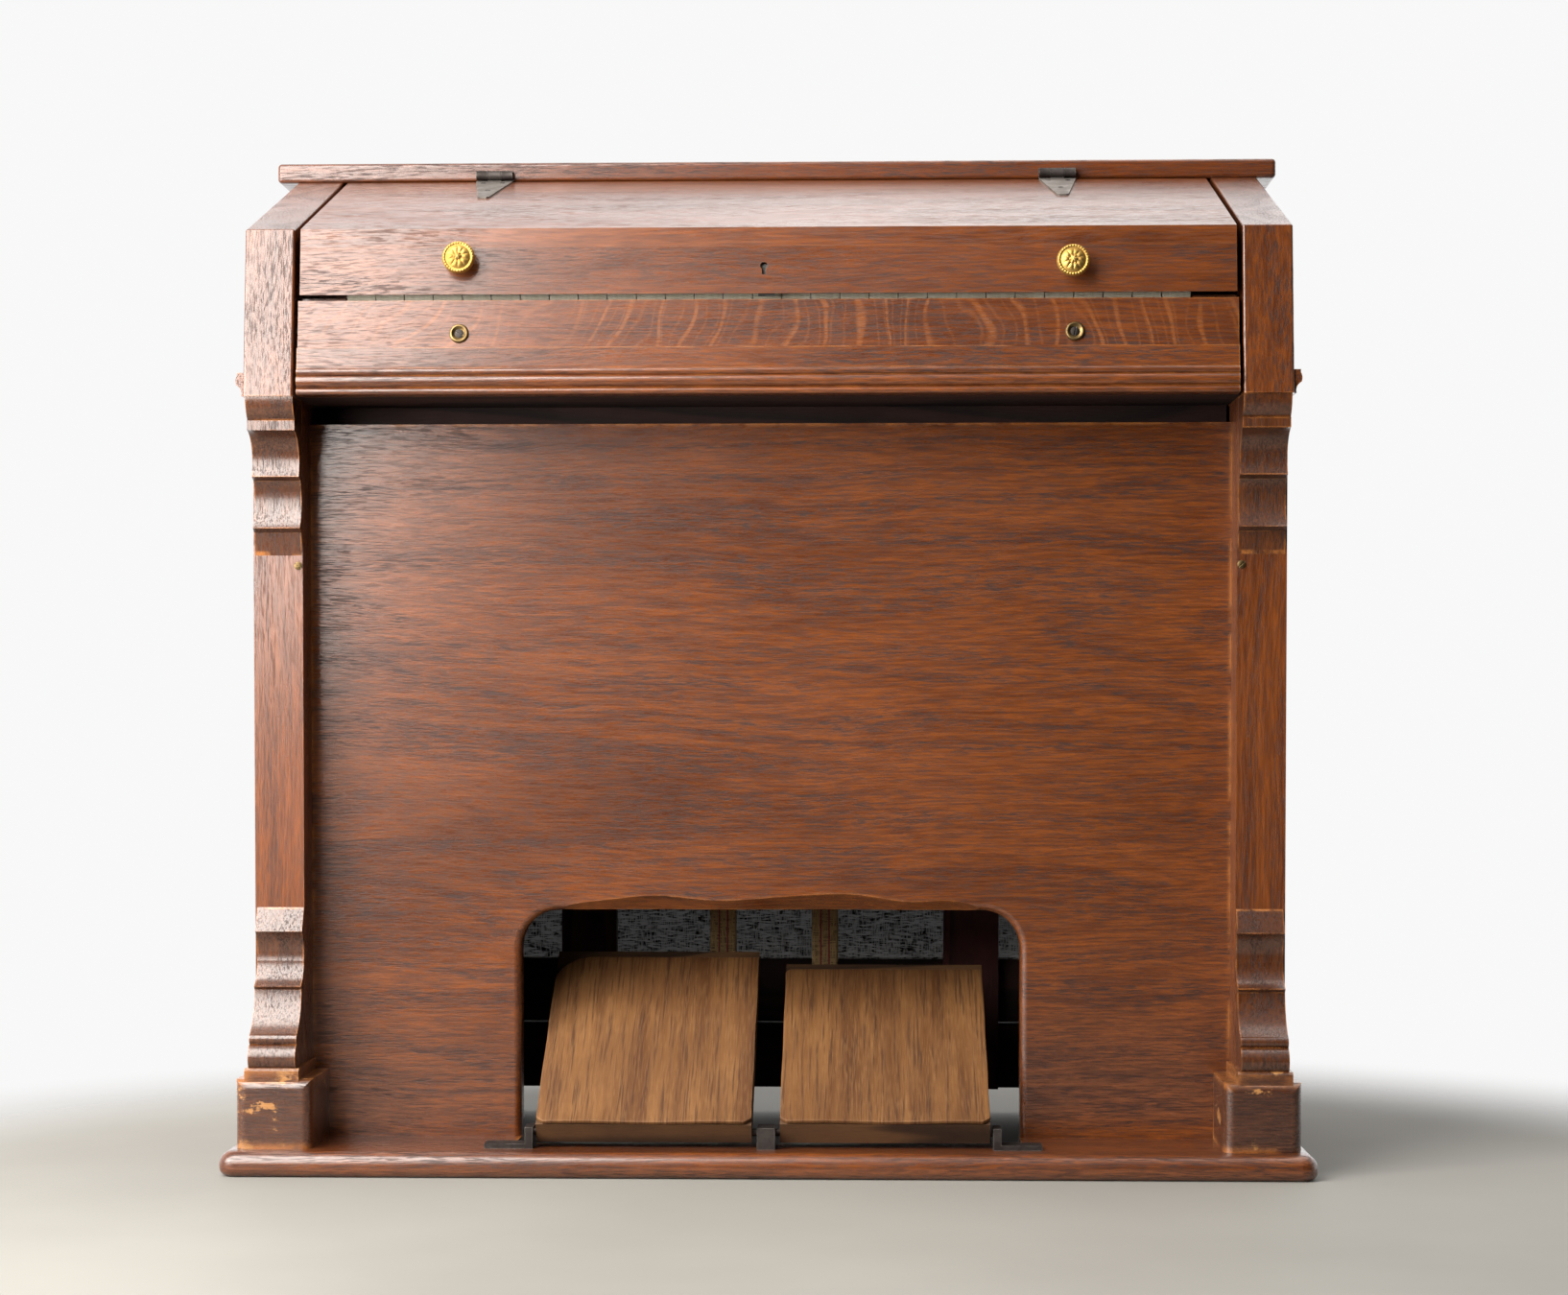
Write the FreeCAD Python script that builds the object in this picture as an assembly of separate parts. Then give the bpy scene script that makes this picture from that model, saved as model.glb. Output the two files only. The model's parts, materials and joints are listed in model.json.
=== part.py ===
# A small foot-pumped reed organ (harmonium) with a four-octave keyboard under a sloping lid.
# Lengths are millimetres, +Z is up, +X is the player's right and the front looks along -Y.
# The pieces are drawn with Y = 0 at the cheek fronts, then moved so that the origin lies
# on the floor under the middle of the whole instrument.
import FreeCAD, Part
import math
import os
from FreeCAD import Vector

os.makedirs("parts", exist_ok=True)

# ---- driving dimensions ----
case_half = 422.0            # centre line to the outer face of the case
cheek_thick = 40.4
inner_half = case_half - cheek_thick
panel_thick = 18.0
back_plane = 385.5           # rearmost face
nose_plane = -24.5           # front of the base plank
origin_y = (nose_plane + back_plane) / 2

base_thick = 20.5
base_top_round = 11.0
base_low_round = 7.0
base_half = 442.0
plank_back = 32.0            # behind the pedals' pivots
runner_width = 82.0

cheek_bottom = 629.3
cheek_step = 765.0           # top of the cheek's front edge
cheek_step_y = 14.0
top_front = 230.7            # front edge of the top board
top_bottom = 842.6
top_thick = 17.0
top_left = -440.0
top_right = 438.3

stile_front = 38.4
knee_front = 73.3
stile_back = 92.0
knee_top = 613.4
opening_left = -207.0
opening_right = 208.5
opening_top = 210.0
opening_corner = 32.0
opening_wear = 6.0
opening_rub = [              # how far feet have worn the top arris up, along X
    (-186.0, -1.0), (-168.0, 4.0), (-135.0, 8.5), (-90.0, 12.0), (-48.0, 8.0), (-10.0, 9.5),
    (38.0, 13.0), (78.0, 12.5), (118.0, 7.0), (150.0, 8.0), (172.0, 4.0), (188.0, -1.0)]

block_front = -4.6
block_inward = 33.4          # from the cheek's middle line
block_outward = 28.7
block_round = 8.0
block_top = 76.7
cap_top = 85.5

natural_pitch = 23.6
natural_count = 29
first_jointed = 14           # natural number of the middle C
jointed_naturals = 3         # C, D and E stand alone, the rest are two ranks
key_gap = 0.8
key_front = 28.0
key_back = 345.0
head_back = 78.0
key_bottom = 698.0
key_top = 714.0
sharp_width = 10.4
sharp_top = 725.0
balance_y = 250.0
ridge_radius = 4.0           # the keys rock on a rounded ridge
keys_half = natural_pitch * natural_count / 2

slip_half = 378.5
slip_top = 706.6
slip_thick = 15.0
lid_half = 377.0
lid_bottom = 711.2
lid_thick = 14.0
lid_front_thick = 16.0
lid_relief = 3.6             # the lower edge rises to the back
lid_back = 229.0
hinge_y = 226.5
hinge_z = 847.3
hinge_x = 247.0
hinge_leaf_end = 86.0        # the leaf's length down the slope
knob_spot = {"left": (-247.0, 738.0), "right": (245.5, 733.4)}

pedal_pivot_y = 14.5
pedal_pivot_z = 33.0
pedal_length = 222.0
pedal_thick = 19.0
pedal_below = 5.6            # board under the pivot line, square to the board
pedal_ahead = 6.3            # board in front of the pivot line
pedal_tilt = {"left": 34.5, "right": 30.7}
pedal_span = {"left": (-187.0, -12.0), "right": (11.0, 181.0)}
strap_x = 44.4
strap_y = 204.0
strap_foot = 148.0
strap_width = 23.0

bellows_z = 400.0
feeder_hinge_y = 335.0
feeder_thick = 12.0


# ---- drawing helpers ----
def block(x0, x1, y0, y1, z0, z1):
    return Part.makeBox(x1 - x0, y1 - y0, z1 - z0, Vector(x0, y0, z0))


def rod_x(x0, x1, y, z, radius):
    return Part.makeCylinder(radius, x1 - x0, Vector(x0, y, z), Vector(1, 0, 0))


def rod_y(x, y0, y1, z, radius):
    return Part.makeCylinder(radius, y1 - y0, Vector(x, y0, z), Vector(0, 1, 0))


def rod_z(x, y, z0, z1, radius):
    return Part.makeCylinder(radius, z1 - z0, Vector(x, y, z0), Vector(0, 0, 1))


def outline(points, place):
    """Closed face through (a, b) points; a pair of points in one entry is an arc's middle and end."""
    edges = []
    last = points[0]
    for entry in points[1:] + [points[0]]:
        if isinstance(entry[0], tuple):
            middle, end = entry
            edges.append(Part.Arc(place(last), place(middle), place(end)).toShape())
        else:
            end = entry
            edges.append(Part.LineSegment(place(last), place(end)).toShape())
        last = end
    return Part.Face(Part.Wire(edges))


def prism_x(x0, x1, points):
    """Extrudes an outline of (y, z) points from x0 to x1."""
    face = outline(points, lambda p: Vector(x0, p[0], p[1]))
    return face.extrude(Vector(x1 - x0, 0, 0))


def prism_y(y0, y1, points):
    """Extrudes an outline of (x, z) points from y0 to y1."""
    face = outline(points, lambda p: Vector(p[0], y0, p[1]))
    return face.extrude(Vector(0, y1 - y0, 0))


def join(shapes):
    return shapes[0].fuse(list(shapes[1:])).removeSplitter()


def mirrored(shape):
    return shape.mirror(Vector(0, 0, 0), Vector(1, 0, 0))


def edges_where(shape, test):
    return [edge for edge in shape.Edges if test(edge.BoundBox)]


def save(name, shape):
    solid = shape.Solids[0] if len(shape.Solids) == 1 else shape
    placed = solid.translated(Vector(0, -origin_y, 0))
    print(name, len(shape.Solids), placed.isValid(), round(placed.Volume / 1000.0, 2))
    placed.exportStep("parts/" + name + ".step")


def save_pair(name, right_shape):
    save(name + "_right", right_shape)
    save(name + "_left", mirrored(right_shape))


def rake(z):
    """Y of the cheeks' leaning front face at height z."""
    return (z - cheek_bottom) * cheek_step_y / (cheek_step - cheek_bottom)


slope = (top_bottom - cheek_step) / (top_front - cheek_step_y)
slope_angle = math.atan(slope)


def slope_z(y):
    """Height of the sloping top surface at y."""
    return cheek_step + (y - cheek_step_y) * slope


# ---- base ----
def soften(shape, chosen):
    """Rounds the chosen upper and lower arrises of a foot board."""
    top = edges_where(shape, lambda b: b.ZMin > base_thick - 0.1 and chosen(b))
    shape = shape.makeFillet(base_top_round, top)
    low = edges_where(shape, lambda b: b.ZMax < 0.1 and chosen(b))
    return shape.makeFillet(base_low_round, low)


def make_base():
    plank = block(-base_half, base_half, nose_plane, stile_back, 0, base_thick)
    corners = edges_where(plank, lambda b: b.ZMax - b.ZMin > 1 and b.YMax < nose_plane + 1)
    plank = soften(plank.makeFillet(14.0, corners), lambda b: b.YMin < stile_back - 1)
    well = block(opening_left, opening_right, plank_back, stile_back + 1, -1, base_thick + 1)
    save("base_plank", plank.cut(well))
    runner = block(base_half - runner_width, base_half, stile_back, back_plane, 0, base_thick)
    save_pair("base_runner", soften(runner, lambda b: b.XMin > base_half - 1))


def make_foot_block():
    middle = case_half - cheek_thick / 2
    left = middle - block_inward
    right = middle + block_outward
    body = block(left, right, block_front, knee_front, base_thick, block_top)
    soft = edges_where(body, lambda b: b.YMax < knee_front - 1 and b.ZMax > base_thick + 1)
    body = body.makeFillet(block_round, soft)
    cap = block(inner_half - 2.4, case_half + 1.4, -2.0, knee_front, block_top - 6, cap_top)
    top = edges_where(cap, lambda b: b.ZMin > cap_top - 1 and b.YMax < knee_front - 1)
    save_pair("foot_block", join([body, cap.makeChamfer(2.0, top)]))


# ---- case ----
def make_sides():
    side = block(case_half - panel_thick, case_half, stile_back, back_plane, base_thick, cheek_bottom)
    save_pair("side_panel", side)
    post = block(inner_half, case_half, stile_front, stile_back, cap_top, cheek_bottom)
    foot = block(inner_half, case_half, knee_front, stile_back, base_thick, cap_top)
    save_pair("stile", join([post, foot]))
    cheek = prism_x(inner_half, case_half, [
        (0.0, cheek_bottom), (cheek_step_y, cheek_step), (top_front, top_bottom),
        (back_plane, top_bottom), (back_plane, cheek_bottom)])
    crest = edges_where(cheek, lambda b: b.YMax < top_front + 1 and b.ZMin > cheek_bottom + 1
                        or b.YMax < cheek_step_y + 1 and b.ZMax > cheek_step - 1)
    save_pair("cheek", cheek.makeFillet(2.0, crest))
    save_pair("side_moulding", prism_y(4.0, back_plane, [
        (case_half, cheek_bottom), (case_half + 2.0, cheek_bottom),
        ((case_half + 2.8, cheek_bottom + 6.0), (case_half + 6.0, cheek_bottom + 9.0)),
        ((case_half + 6.6, cheek_bottom + 13.0), (case_half + 5.4, cheek_bottom + 16.5)),
        (case_half + 5.4, cheek_bottom + 19.0), (case_half, cheek_bottom + 19.0)]))


def make_brackets():
    inner = inner_half + 0.4
    outer = case_half - 1.5
    save_pair("upper_bracket", prism_x(inner, outer, [
        (stile_front, cheek_bottom), (1.5, cheek_bottom),
        ((4.0, 619.0), (10.2, 611.2)), (8.6, 610.4), (8.6, 602.6),
        ((25.8, 590.0), (25.0, 566.4)), (33.0, 563.6),
        ((36.9, 548.0), (29.0, 524.8)), (35.5, 521.5), (stile_front, 503.0)]))
    save_pair("lower_bracket", prism_x(inner, outer, [
        (stile_front, 214.0), (29.5, 194.6), ((36.2, 184.0), (36.8, 170.0)),
        ((33.0, 158.0), (23.5, 149.8)), (26.5, 147.0),
        ((20.5, 128.0), (7.0, 112.8)), ((3.4, 108.6), (5.6, 104.4)),
        ((-2.2, 95.6), (0.6, cap_top)), (stile_front, cap_top)]))


def make_knee_panel():
    panel = block(-inner_half, inner_half, knee_front, knee_front + panel_thick, base_thick, knee_top)
    cutter = block(opening_left, opening_right, knee_front - 5, knee_front + panel_thick + 5,
                   base_thick - 5, opening_top)
    corners = edges_where(cutter, lambda b: b.ZMin > opening_top - 1 and b.XMax - b.XMin < 1)
    panel = panel.cut(cutter.makeFillet(opening_corner, corners))
    rim = edges_where(panel, lambda b: b.YMax < knee_front + 0.1 and b.ZMax < opening_top + 1
                      and b.ZMin > base_thick - 1 and abs(b.XMin) < 300 and abs(b.XMax) < 300
                      and not (b.ZMax < base_thick + 0.1))
    panel = panel.makeFillet(opening_wear, rim)
    crest = [Vector(x, knee_front - 1, opening_top + up + 1) for x, up in opening_rub]
    curve = Part.BSplineCurve()
    curve.interpolate(crest)
    first, last = crest[0], crest[-1]
    low = opening_top - 12
    corner_a, corner_b = Vector(last.x, last.y, low), Vector(first.x, first.y, low)
    sides = [Part.LineSegment(a, b).toShape() for a, b in
             ((last, corner_a), (corner_a, corner_b), (corner_b, first))]
    worn = Part.Face(Part.Wire([curve.toShape()] + sides)).extrude(Vector(0, 20, -20))
    save("knee_panel", panel.cut(worn))


def make_top():
    board = block(top_left, top_right, top_front, back_plane, top_bottom, top_bottom + top_thick)
    soft = edges_where(board, lambda b: b.YMax < back_plane - 1 or abs(b.XMax - b.XMin) < 1 and
                       b.YMax - b.YMin > 1)
    save("top_board", board.makeFillet(3.5, soft))


def make_back():
    front = back_plane - panel_thick
    save("back_panel", block(-inner_half, inner_half, front, back_plane, cheek_bottom, top_bottom))
    wide = case_half - panel_thick
    low = 25.0
    rail_bottom = 560.0
    pieces = [block(-wide, wide, front - 12, back_plane, rail_bottom, cheek_bottom)]
    for side in (-1, 1):
        a, b = sorted((side * (wide - 40), side * wide))
        pieces.append(block(a, b, front - 12, back_plane, low, rail_bottom + 1))
        a, b = sorted((side * 152.0, side * 203.0))
        pieces.append(block(a, b, front - 12, front, low, rail_bottom + 1))
    save("back_frame", join(pieces))
    boards = block(40 - wide, wide - 40, front, back_plane, low, 145.0)
    slit = block(60 - wide, wide - 60, front - 1, back_plane + 1, 85.0, 86.6)
    save("back_boards", boards.cut(slit))
    save("grille_cloth", block(40 - wide, wide - 40, front, front + 2.0, 145.0, rail_bottom))


# ---- keyboard ----
sharp_offset = {1: -2.5, 2: 2.5, 4: -3.0, 5: 0.0, 6: 3.0}


def boundary(i):
    return i * natural_pitch - keys_half


def sharp_x(i):
    """Centre of the sharp that stands between naturals i - 1 and i, or None."""
    offset = sharp_offset.get(i % 7)
    if offset is None or i <= 0 or i >= natural_count:
        return None
    return boundary(i) + offset


def tail_span(i):
    left = sharp_x(i)
    right = sharp_x(i + 1)
    clear = sharp_width / 2 + key_gap
    x0 = boundary(i) + key_gap / 2 if left is None else left + clear
    x1 = boundary(i + 1) - key_gap / 2 if right is None else right - clear
    return x0, x1


def pin_hole(x):
    return rod_z(x, balance_y, key_bottom - 1, key_top + 1, 2.6)


def natural(i):
    left = boundary(i) + key_gap / 2
    right = boundary(i + 1) - key_gap / 2
    x0, x1 = tail_span(i)
    head = block(left, right, key_front, head_back, key_bottom, key_top)
    lip = block(left, right, key_front - 1.5, key_front, key_top - 2.5, key_top)
    tail = block(x0, x1, head_back, key_back, key_bottom, key_top)
    return join([head, lip, tail]).cut(pin_hole((x0 + x1) / 2))


def sharp(i):
    x = sharp_x(i)
    half = sharp_width / 2
    shank = block(x - half, x + half, head_back + 2, key_back, key_bottom, key_top)
    crown = prism_x(x - half, x + half, [
        (head_back + 2, key_top - 1), (head_back + 6, sharp_top), (186.0, sharp_top), (186.0, key_top - 1)])
    return join([shank, crown]).cut(pin_hole(x))


def rank(naturals, sharps, left, right):
    """One rank of keys held together by a lath under their rear ends."""
    keys = [natural(i) for i in naturals] + [sharp(i) for i in sharps]
    lath = block(left, right, key_back - 25, key_back, key_bottom - 6, key_bottom + 1)
    return join(keys + [lath])


def make_keys():
    last_jointed = first_jointed + jointed_naturals
    bass_sharps = [i for i in range(1, first_jointed) if sharp_x(i) is not None]
    treble_sharps = [i for i in range(last_jointed, natural_count) if sharp_x(i) is not None]
    save("keys_bass", rank(range(first_jointed), bass_sharps,
                           boundary(0) + key_gap / 2, boundary(first_jointed) - key_gap / 2))
    save("keys_treble", rank(range(last_jointed, natural_count), treble_sharps,
                             boundary(last_jointed) + key_gap / 2,
                             boundary(natural_count) - key_gap / 2))
    names = ["key_c", "key_d", "key_e"]
    for step, name in enumerate(names):
        save(name, natural(first_jointed + step))
    save("key_c_sharp", sharp(first_jointed + 1))
    save("key_d_sharp", sharp(first_jointed + 2))


def make_key_frame():
    rails = [block(-keys_half, keys_half, 40.0, 64.0, 650.0, 684.0)]
    ridge_z = key_bottom - 0.6 - ridge_radius
    rails.append(block(-keys_half, keys_half, balance_y - 10, balance_y + 10, 650.0, ridge_z))
    rails.append(rod_x(-keys_half, keys_half, balance_y, ridge_z, ridge_radius))
    rails.append(block(-keys_half, keys_half, 322.0, 350.0, 650.0, 686.0))
    for x in (-keys_half, -8.0, keys_half - 16):
        rails.append(block(x, x + 16, 40.0, 350.0, 650.0, 664.0))
    for i in range(natural_count):
        rails.append(rod_z(sum(tail_span(i)) / 2, balance_y, ridge_z, key_top + 3, 1.5))
        if sharp_x(i) is not None:
            rails.append(rod_z(sharp_x(i), balance_y, ridge_z, key_top + 3, 1.5))
    save("key_frame", join(rails))


def make_keyboard_case():
    save("keybed", block(-inner_half, inner_half, 20.0, back_plane - panel_thick, 630.0, 650.0))
    cheek_block = block(keys_half + 1.3, slip_half, key_front, 188.0, 650.0, 711.0)
    save_pair("key_block", cheek_block)
    save("name_board", block(-inner_half, inner_half, 190.0, 204.0, 722.0, 808.0))
    face = 2.0
    board = prism_x(-slip_half, slip_half, [
        (rake(630.0) + face, 630.0), (rake(slip_top) + face, slip_top),
        (rake(slip_top) + face + slip_thick, slip_top), (rake(630.0) + face + slip_thick, 630.0)])
    bolt_slot = block(-9.0, 9.0, 13.0, 20.0, slip_top - 12, slip_top + 1)
    save("key_slip", board.cut(bolt_slot))
    band = face - 3.5
    save("key_slip_moulding", prism_x(-slip_half, slip_half, [
        (rake(630.0) + face, 630.0), (-0.6, 630.0), ((-2.0, 632.2), (-0.8, 634.6)), (1.2, 636.0),
        ((-2.4, 640.6), (0.6, 645.4)), ((-1.4, 648.4), (0.9, 651.2)),
        (rake(653.0) + band, 653.0), (rake(668.0) + band, 668.0), (rake(668.0) + face, 668.0)]))


# ---- lid ----
def make_lid():
    drop = lid_thick / math.cos(slope_angle)
    under = cheek_step - drop
    save("lid_slope", prism_x(-lid_half, lid_half, [
        (cheek_step_y, cheek_step), (lid_back, slope_z(lid_back)),
        (lid_back, slope_z(lid_back) - drop), (rake(under), slope_z(rake(under)) - drop)]))
    front_under = slope_z(rake(under)) - drop
    back_foot = rake(lid_bottom) + lid_front_thick
    back_top = back_foot + 4.6
    front = prism_x(-lid_half, lid_half, [
        (rake(lid_bottom), lid_bottom), (rake(under), front_under),
        (back_top, slope_z(back_top) - drop), (back_foot, lid_bottom + lid_relief),
        (rake(lid_bottom) + 2.0, lid_bottom)])
    slot = block(-7.4, 7.4, 14.2, 18.8, lid_bottom - 1, 745.0)
    keyhole = rod_y(-2.0, 5.0, 15.0, 733.5, 3.0)
    ward = block(-3.6, -0.4, 5.0, 15.0, 726.5, 733.5)
    save("lid_front", front.cut(slot).cut(join([keyhole, ward])))
    save("lock_bolt", block(-7.0, 7.0, 14.5, 18.5, 710.0, 735.0))


def on_slope(along, height):
    """(y, z) of a point that lies along the slope from the hinge line and above the lid's face."""
    foot_z = hinge_z - hinge_lift * math.cos(slope_angle)
    foot_y = hinge_y + hinge_lift * math.sin(slope_angle)
    y = foot_y - along * math.cos(slope_angle) - height * math.sin(slope_angle)
    z = foot_z - along * math.sin(slope_angle) + height * math.cos(slope_angle)
    return y, z


hinge_lift = (hinge_z - slope_z(hinge_y)) * math.cos(slope_angle)


def make_hinge():
    half = 16.0
    knuckle = 5.7
    radius = 4.0
    plate = block(hinge_x - half, hinge_x + half, top_front - 1.0, top_front, top_bottom + 0.2,
                  hinge_z + radius + 0.6)
    room = rod_x(hinge_x - knuckle - 0.4, hinge_x + knuckle + 0.4, hinge_y, hinge_z, radius + 0.6)
    fixed = [plate.cut(room)]
    for x0, x1 in ((-half, -knuckle - 0.4), (knuckle + 0.4, half)):
        fixed.append(rod_x(hinge_x + x0, hinge_x + x1, hinge_y, hinge_z, radius))
    fixed.append(rod_x(hinge_x - half, hinge_x + half, hinge_y, hinge_z, 1.5))
    save_pair("hinge_fixed", join(fixed))
    barrel = rod_x(hinge_x - knuckle, hinge_x + knuckle, hinge_y, hinge_z, radius)
    web = prism_x(hinge_x - knuckle, hinge_x + knuckle, [
        on_slope(0, 0), on_slope(7, 0), on_slope(7, 1.6), on_slope(0, 2.2)])
    leaf_thick = 1.6
    end = hinge_leaf_end
    corners = [(half, 5.0), (-half, 5.0), (-5.0, end - 3), (-3.0, end), (3.0, end), (5.0, end - 3)]

    def place(p):
        y, z = on_slope(p[1], 0.0)
        return Vector(hinge_x + p[0], y, z)

    lift = Vector(0, -math.sin(slope_angle), math.cos(slope_angle)) * leaf_thick
    leaf = outline(corners, place).extrude(lift)
    bore = rod_x(hinge_x - half, hinge_x + half, hinge_y, hinge_z, 1.56)
    save_pair("hinge_leaf", join([barrel, web, leaf]).cut(bore))


def make_knob():
    radius = 13.25
    face = outline([
        (0.0, 0.0), (9.0, 0.0), (9.0, 1.6), (5.2, 3.0), (5.2, 9.5), (radius - 0.8, 11.0),
        (radius, 12.2), (radius - 0.8, 13.4), (6.0, 15.2), (3.0, 18.0), (0.0, 18.0)],
        lambda p: Vector(p[0], 0, p[1]))
    knob = face.revolve(Vector(0, 0, 0), Vector(0, 0, 1), 360)
    lean = math.degrees(math.atan(cheek_step_y / (cheek_step - cheek_bottom)))
    knob.rotate(Vector(0, 0, 0), Vector(1, 0, 0), 90 - lean)
    for side, (x, z) in knob_spot.items():
        save("knob_" + side, knob.translated(Vector(x, rake(z), z)))


# ---- pedals ----
def make_pedals():
    pin = 3.0
    head = pedal_thick - pedal_below
    tail = pedal_length - pedal_ahead
    for side in ("left", "right"):
        x0, x1 = pedal_span[side]
        board = prism_x(x0, x1, [
            (-pedal_ahead, -pedal_below), (-pedal_ahead, head), (tail, head), (tail, -pedal_below)])
        for a, b in ((x0, x0 + 26), (x1 - 26, x1)):
            board = board.cut(rod_x(a, b, 0, 0, pin + 0.06))
        board.rotate(Vector(0, 0, 0), Vector(1, 0, 0), pedal_tilt[side])
        board.translate(Vector(0, pedal_pivot_y, pedal_pivot_z))
        save("pedal_" + side, board)
    ear_top = 38.0
    ear = block(-7.5, 7.0, 2.0, 27.0, base_thick, ear_top)
    pins = rod_x(-36.0, 35.0, pedal_pivot_y, pedal_pivot_z, pin)
    save("pedal_bracket_centre", join([ear, pins]))
    for side, sign in (("left", -1), ("right", 1)):
        outer = pedal_span[side][0] if sign < 0 else pedal_span[side][1]
        a, b = sorted((outer + sign * 2.5, outer + sign * 9.0))
        upright = block(a, b, 3.0, 27.0, base_thick, ear_top)
        a, b = sorted((outer + sign * 2.5, outer + sign * 42.0))
        foot = block(a, b, 3.0, 22.0, base_thick, base_thick + 4)
        a, b = sorted((outer - sign * 24.0, outer + sign * 5.0))
        pivot = rod_x(a, b, pedal_pivot_y, pedal_pivot_z, pin)
        save("pedal_bracket_" + side, join([upright, foot, pivot]))


# ---- wind works ----
def make_bellows():
    wide = case_half - panel_thick
    save("reed_pan", block(-380.0, 380.0, 100.0, 350.0, 596.0, 630.0))
    save("bellows_board", block(-wide, wide, 100.0, 350.0, bellows_z, bellows_z + 18))
    save("reservoir_board", block(-340.0, 340.0, 110.0, 340.0, bellows_z + 40, bellows_z + 54))
    low = bellows_z - 30
    for side, x0, x1 in (("left", -190.0, -8.0), ("right", 8.0, 190.0)):
        board = block(x0, x1, 112.0, feeder_hinge_y, low, low + feeder_thick)
        rear = rod_x(x0, x1, feeder_hinge_y, low + feeder_thick / 2, feeder_thick / 2)
        save("feeder_" + side, join([board, rear]))
    roller = 8.0
    roller_z = 262.0
    save("strap_roller", rod_x(-wide, wide, strap_y + 2.3 + roller, roller_z, roller))
    half = strap_width / 2
    for side, x in (("left", -strap_x), ("right", strap_x)):
        save("strap_" + side, block(x - half, x + half, strap_y, strap_y + 2, strap_foot, roller_z))


make_base()
make_foot_block()
make_sides()
make_brackets()
make_knee_panel()
make_top()
make_back()
make_keys()
make_key_frame()
make_keyboard_case()
make_lid()
make_hinge()
make_knob()
make_pedals()
make_bellows()
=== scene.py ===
# Studio scene for a small oak harmonium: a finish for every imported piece, and the small parts
# and cloth that the solids leave out
import json
import math

import bpy
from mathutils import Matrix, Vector


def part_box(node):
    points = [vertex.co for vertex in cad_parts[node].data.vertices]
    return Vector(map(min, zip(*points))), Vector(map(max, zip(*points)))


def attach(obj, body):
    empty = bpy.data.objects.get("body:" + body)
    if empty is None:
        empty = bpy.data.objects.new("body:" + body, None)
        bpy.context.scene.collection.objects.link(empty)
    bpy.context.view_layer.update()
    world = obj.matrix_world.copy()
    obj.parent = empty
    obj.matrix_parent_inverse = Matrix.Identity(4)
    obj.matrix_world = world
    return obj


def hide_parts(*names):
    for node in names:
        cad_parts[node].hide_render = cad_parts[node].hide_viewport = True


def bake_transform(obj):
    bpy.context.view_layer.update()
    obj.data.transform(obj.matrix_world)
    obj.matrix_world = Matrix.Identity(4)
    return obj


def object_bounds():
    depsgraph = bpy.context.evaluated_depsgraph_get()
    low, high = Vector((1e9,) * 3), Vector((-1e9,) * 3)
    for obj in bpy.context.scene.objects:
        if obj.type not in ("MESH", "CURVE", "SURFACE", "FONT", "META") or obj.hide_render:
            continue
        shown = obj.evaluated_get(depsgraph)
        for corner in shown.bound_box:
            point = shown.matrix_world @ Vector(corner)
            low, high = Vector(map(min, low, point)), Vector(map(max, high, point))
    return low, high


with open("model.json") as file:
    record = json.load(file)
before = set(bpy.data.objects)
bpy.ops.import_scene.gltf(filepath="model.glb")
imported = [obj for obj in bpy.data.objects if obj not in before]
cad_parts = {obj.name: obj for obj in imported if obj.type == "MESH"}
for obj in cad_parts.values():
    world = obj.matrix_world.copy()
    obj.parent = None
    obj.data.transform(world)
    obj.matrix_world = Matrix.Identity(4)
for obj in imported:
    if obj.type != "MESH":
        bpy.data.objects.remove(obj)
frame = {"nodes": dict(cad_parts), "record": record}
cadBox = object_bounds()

nodes = frame["nodes"]
record = frame["record"]

# where the case's leaning faces stand, in metres
caseShape = {
    "cheekStart": 0.0245,  # the cheeks' front, behind the base plank's nose
    "leanFrom": 0.6293,  # height where the cheeks' fronts begin to lean back
    "leanBack": 0.014,
    "leanRise": 0.1337,
    "lidRise": 0.1357,  # the lid's front board leans back as far over this height
    "slopeStart": 0.0140,  # the lid's slope, behind the cheeks' front
    "slopeFoot": 0.765,
    "slopeRise": 0.0776,
    "slopeRun": 0.2167,
    "hingePin": 0.2265,  # the hinge pins, behind the cheeks' front
}
cheekFrontY = cadBox[0].y + caseShape["cheekStart"]


def putNode(tree, kind, inputs=None, **settings):
    node = tree.nodes.new("ShaderNode" + kind)
    for key, value in settings.items():
        setattr(node, key, value)
    for key, value in (inputs or {}).items():
        if isinstance(value, bpy.types.NodeSocket):
            tree.links.new(value, node.inputs[key])
        else:
            node.inputs[key].default_value = value
    return node


def calc(tree, operation, first, second=0.0, clamp=False):
    inputs = {0: first, 1: second}
    return putNode(tree, "Math", inputs, operation=operation, use_clamp=clamp).outputs[0]


def band(tree, value, low, high, toLow=0.0, toHigh=1.0):
    inputs = {"Value": value, "From Min": low, "From Max": high, "To Min": toLow, "To Max": toHigh}
    return putNode(tree, "MapRange", inputs, interpolation_type="SMOOTHSTEP").outputs[0]


def noiseOf(tree, vector, stretch, detail=2.0, distortion=0.0, roughness=0.5):
    scaled = putNode(tree, "VectorMath", {0: vector, 1: stretch}, operation="MULTIPLY").outputs[0]
    inputs = {"Vector": scaled, "Scale": 1.0, "Detail": detail, "Distortion": distortion,
              "Roughness": roughness}
    return putNode(tree, "TexNoise", inputs).outputs[0]


def blendColour(tree, factor, first, second, mode="MIX"):
    inputs = {0: factor, 6: first, 7: second}
    return putNode(tree, "Mix", inputs, data_type="RGBA", blend_type=mode).outputs[2]


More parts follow.
